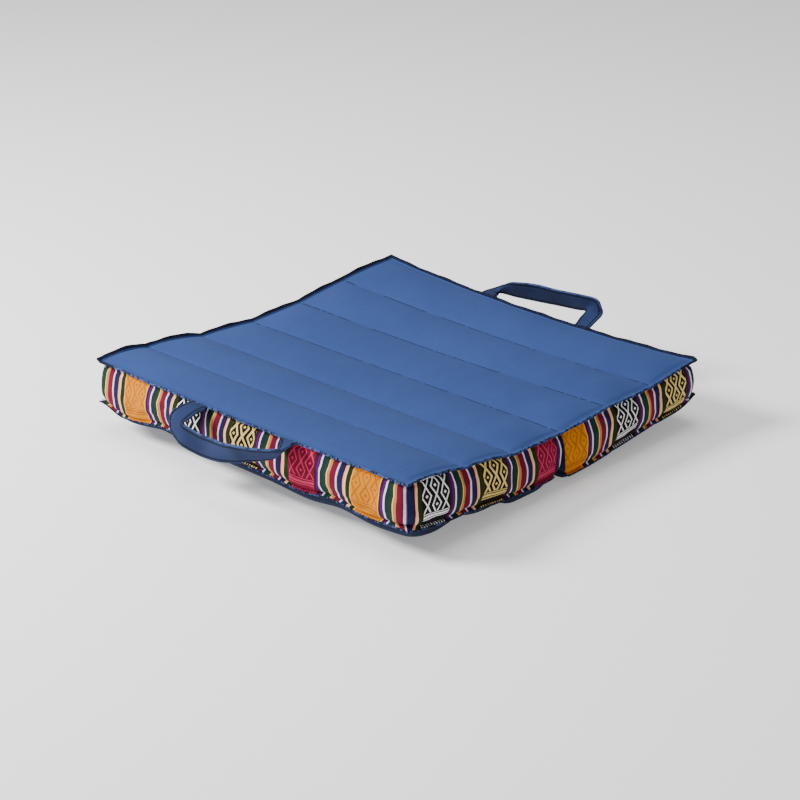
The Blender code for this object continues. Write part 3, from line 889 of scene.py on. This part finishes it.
FAR_STRAP = (
    Across((-0.059, SEWN_IN, AT_SEAM), (-0.082, SEWN_IN, AT_SEAM)),
    Across((-0.063, 0.232, 0.068), (-0.082, 0.235, 0.070)),
    Across((-0.068, 0.237, 0.066), (-0.075, 0.247, 0.073)),
    Across((-0.069, 0.246, 0.067), (-0.059, 0.246, 0.082)),
    Across((-0.051, 0.253, 0.065), (-0.045, 0.243, 0.087)),
    Across((-0.018, 0.255, 0.067), (-0.018, 0.245, 0.091)),
    Across((0.012, 0.255, 0.070), (0.013, 0.244, 0.093)),
    Across((0.038, 0.253, 0.073), (0.043, 0.243, 0.096)),
    Across((0.052, 0.250, 0.076), (0.071, 0.244, 0.097)),
    Across((0.055, 0.245, 0.075), (0.079, 0.244, 0.090)),
    Across((0.055, 0.238, 0.072), (0.082, 0.243, 0.082)),
    Across((0.056, 0.232, 0.069), (0.080, 0.234, 0.075)),
    Across((0.057, SEWN_IN, AT_SEAM), (0.077, SEWN_IN, AT_SEAM)),
)
STRAP_STEPS = 8
STRAP_THICK = 0.0030


def smooth_between(a, b, c, d, t):
    return 0.5 * (2 * b + (c - a) * t + (2 * a - 5 * b + 4 * c - d) * t**2 + (3 * b - a - 3 * c + d) * t**3)


def edge_curve(table, side, lip_row):
    """One edge of a strap as a smooth curve through its places."""
    points = []
    for stage in table:
        x, y, z = stage[side]
        if z is AT_SEAM:
            z = top_height(lip_row, x) - PANEL - BETWEEN_CLOTHS / 2
        points.append(Vector((x, y + CENTRED, z)))
    spread = [2 * points[0] - points[1], *points, 2 * points[-1] - points[-2]]
    curve = []
    for i in range(len(points) - 1):
        curve += [smooth_between(*spread[i : i + 4], step / STRAP_STEPS) for step in range(STRAP_STEPS)]
    return curve + [points[-1]]


# A strap's section from edge to edge, as shares of its half width with how full its face is there: thin at
# the edges and at the stitch lines, and puffed between them.
STRAP_SECTION = (
    (-1.0, 0.45), (-0.975, 0.80), (-0.90, 0.95), (-0.80, 0.90), (-0.755, 0.66), (-0.71, 0.90), (-0.55, 1.0),
    (-0.25, 1.0), (0.0, 0.98), (0.25, 1.0), (0.55, 1.0), (0.71, 0.90), (0.755, 0.66), (0.80, 0.90),
    (0.90, 0.95), (0.975, 0.80), (1.0, 0.45),
)


def sewn_strap(name, table, half):
    """A strap swept along its two edges, from a cylinder whose rings are laid across it one by one."""
    lip_row = row_at(half, ROWS)
    lower, upper = edge_curve(table, 0, lip_row), edge_curve(table, 1, lip_row)
    centres = [(a + b) / 2 for a, b in zip(lower, upper)]
    section = [(across, full) for across, full in STRAP_SECTION]
    section += [(across, -full) for across, full in reversed(STRAP_SECTION)]
    bpy.ops.object.select_all(action="DESELECT")
    bpy.ops.mesh.primitive_grid_add(x_subdivisions=len(section), y_subdivisions=len(centres) - 1, size=1,
                                    location=(0, 0, 0))
    made = bpy.context.object
    made.name = name
    mesh = made.data
    band = mesh.uv_layers[0] if mesh.uv_layers else mesh.uv_layers.new(name="run")
    band.name = "run"
    run = [0.0]
    for a, b in zip(centres, centres[1:]):
        run.append(run[-1] + (b - a).length)
    places = []
    for vertex in mesh.vertices:
        i = round((vertex.co.x + 0.5) * len(section))
        j = round((vertex.co.y + 0.5) * (len(centres) - 1))
        places.append((i, j))
        forward = centres[min(j + 1, len(centres) - 1)] - centres[max(j - 1, 0)]
        if j in (0, len(centres) - 1):
            forward = Vector((0, forward.y, 0))
        width = upper[j] - lower[j]
        half_width = width.length / 2
        width.normalize()
        face = forward.cross(width).normalized() * STRAP_THICK / 2
        across, full = section[i % len(section)]
        vertex.co = centres[j] + width * across * half_width + face * full
    for loop in mesh.loops:
        i, j = places[loop.vertex_index]
        band.data[loop.index].uv = (section[i % len(section)][0] / 2 + 0.5, run[j] * WIDTHS_IN_A_METRE)
    bpy.ops.object.mode_set(mode="EDIT")
    bpy.ops.mesh.select_all(action="SELECT")
    bpy.ops.mesh.remove_doubles(threshold=0.00001)
    bpy.ops.mesh.select_all(action="DESELECT")
    bpy.ops.mesh.select_non_manifold()
    bpy.ops.mesh.fill_holes(sides=0)
    bpy.ops.mesh.select_all(action="SELECT")
    bpy.ops.mesh.normals_make_consistent(inside=False)
    bpy.ops.object.mode_set(mode="OBJECT")
    bpy.ops.object.shade_smooth_by_angle(angle=math.radians(60))
    return made


for name, table in (("near", NEAR_STRAP), ("far", FAR_STRAP)):
    strap = sewn_strap(f"folded_strap_{name}", table, HALVES[name])
    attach(strap, "root")
    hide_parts(f"carry_strap_{name}")
    0.220 if name == "near" else 0.196
    strap.data.materials.clear()
    strap.data.materials.append(STRAP_COTTON)

# The floor and the light: a white floor, a large soft light from the left of the camera, a second one above,
# and an even fill.
bpy.ops.object.select_all(action="DESELECT")
bpy.ops.mesh.primitive_plane_add(size=14, location=(0, 0, 0))
floor = bpy.context.object
floor.name = "white_floor"
paper = Finish("white_paper", 0.9, 0.0)
paper.shader.inputs["Base Color"].default_value = (0.94, 0.94, 0.94, 1.0)
paper.shader.inputs["Emission Color"].default_value = (1.0, 1.0, 1.0, 1.0)
paper.shader.inputs["Emission Strength"].default_value = 0.3
floor.data.materials.append(paper.material)


def softbox(name, place, size, power):
    bpy.ops.object.light_add(type="AREA", location=place)
    box = bpy.context.object
    box.name = name
    box.data.shape = "DISK"
    box.data.size = size
    box.data.energy = power
    box.rotation_euler = (Vector(place) - LOOKS_AT).to_track_quat("Z", "Y").to_euler()


softbox("key_light", (-1.3, -1.35, 1.45), 0.8, 100)
softbox("top_light", (-0.3, 0.1, 2.3), 1.5, 28)
sky = bpy.data.worlds.get("World") or bpy.data.worlds.new("World")
bpy.context.scene.world = sky
sky.use_nodes = True
sky.node_tree.nodes["Background"].inputs["Color"].default_value = (1.0, 1.0, 1.0, 1.0)
sky.node_tree.nodes["Background"].inputs["Strength"].default_value = 0.30

bpy.ops.object.select_all(action="DESELECT")
